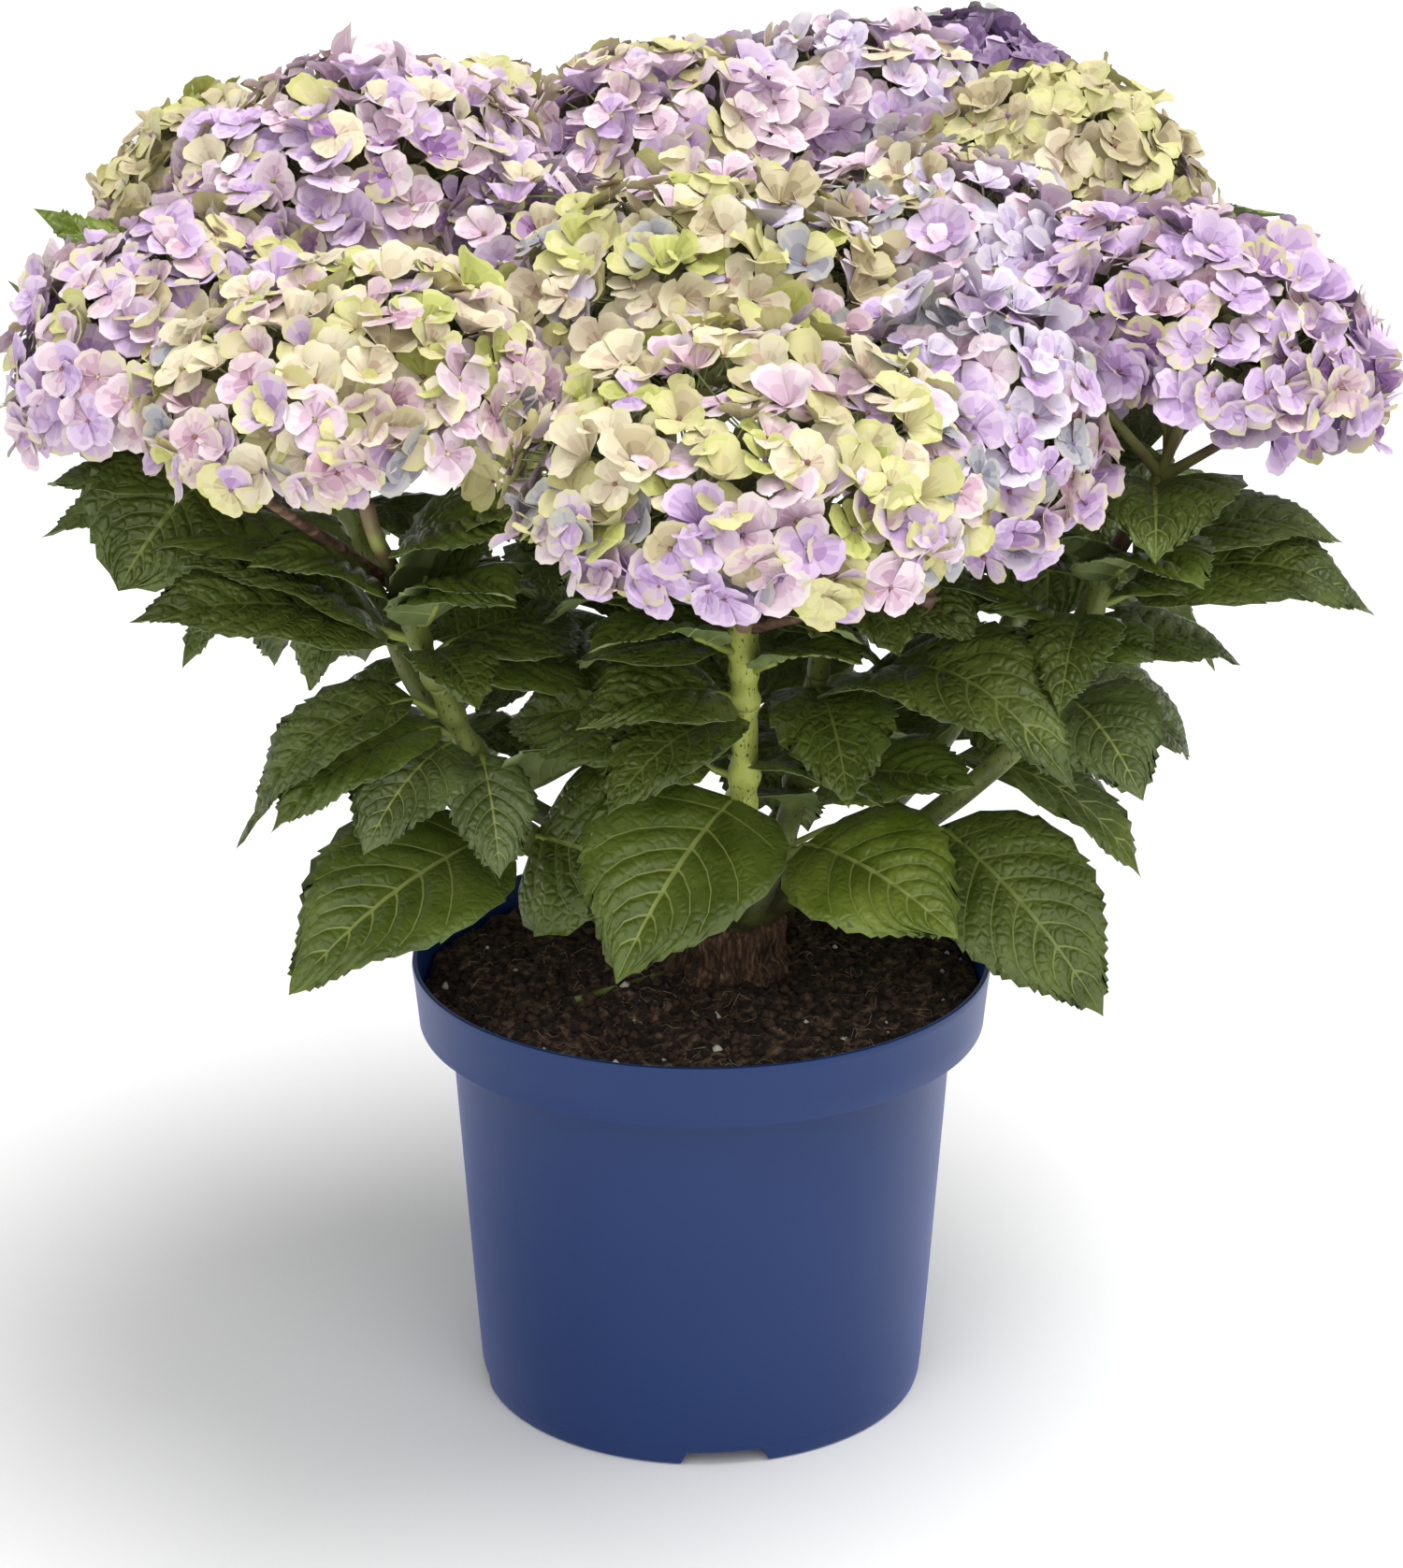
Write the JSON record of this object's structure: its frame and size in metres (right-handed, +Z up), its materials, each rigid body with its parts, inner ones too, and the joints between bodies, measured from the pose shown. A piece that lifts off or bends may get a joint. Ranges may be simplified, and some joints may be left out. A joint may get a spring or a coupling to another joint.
{
  "type": "potted hydrangea shrub",
  "caption": "Mophead hydrangea shrub with a woody stump, leafy canes and domed flower heads, growing in a round plastic nursery pot filled with soil.",
  "frame": {"origin": "centre of the pot's flat underside, on the ground", "axes": "+Z up through the pot's axis; -Y is the front, the side with the lowest flower heads; +X is to the right when seen from the front"},
  "size_m": [0.6029, 0.6184, 0.605],
  "materials": {
    "pot_plastic": "injection moulded polypropylene, soft satin sheen",
    "potting_soil": "damp crumbly potting mix with bark fibre and perlite",
    "old_wood": "fibrous weathered stem base",
    "cane_bark": "yellow-green young stem with brown flecks",
    "leaf_green": "quilted leaf, waxy upper side",
    "floret_cream": "thin papery sepals",
    "floret_lilac": "thin papery sepals",
    "floret_violet": "thin papery sepals",
    "floret_lime": "thin papery sepals"
  },
  "bodies": {
    "root": {"cane_back": "cane_bark", "cane_back_right": "cane_bark", "cane_front": "cane_bark", "cane_front_right": "cane_bark", "cane_left": "cane_bark", "cane_left_back": "cane_bark", "cane_right": "cane_bark", "cane_right_back": "cane_bark", "head_back": "floret_lilac", "head_back_left": "floret_cream", "head_back_right": "floret_cream", "head_front": "floret_cream", "head_front_left": "floret_cream", "head_front_right": "floret_lilac", "head_left": "floret_lilac", "head_left_back": "floret_lime", "head_lime": "floret_lime", "head_middle": "floret_cream", "head_middle_right": "floret_lilac", "head_right": "floret_lilac", "head_top_middle": "floret_lilac", "head_top_right": "floret_lilac", "head_upper_left": "floret_lilac", "head_violet": "floret_violet", "low_leaf_01": "leaf_green", "low_leaf_02": "leaf_green", "low_leaf_03": "leaf_green", "low_leaf_04": "leaf_green", "low_leaf_05": "leaf_green", "low_leaf_06": "leaf_green", "low_leaf_07": "leaf_green", "low_leaf_08": "leaf_green", "low_leaf_09": "leaf_green", "low_leaf_10": "leaf_green", "low_leaf_11": "leaf_green", "low_leaf_12": "leaf_green", "low_leaf_13": "leaf_green", "low_leaf_14": "leaf_green", "low_leaf_15": "leaf_green", "low_leaf_16": "leaf_green", "low_leaf_17": "leaf_green", "low_leaf_18": "leaf_green", "low_leaf_19": "leaf_green", "low_leaf_20": "leaf_green", "low_leaf_21": "leaf_green", "pot": "pot_plastic", "shoot_back": "leaf_green", "shoot_back_right": "leaf_green", "shoot_front": "leaf_green", "shoot_front_right": "leaf_green", "shoot_left": "leaf_green", "shoot_left_back": "leaf_green", "shoot_right": "leaf_green", "shoot_right_back": "leaf_green", "soil": "potting_soil", "soil_sprout": "cane_bark", "stump": "old_wood"}
  },
  "joints": []
}
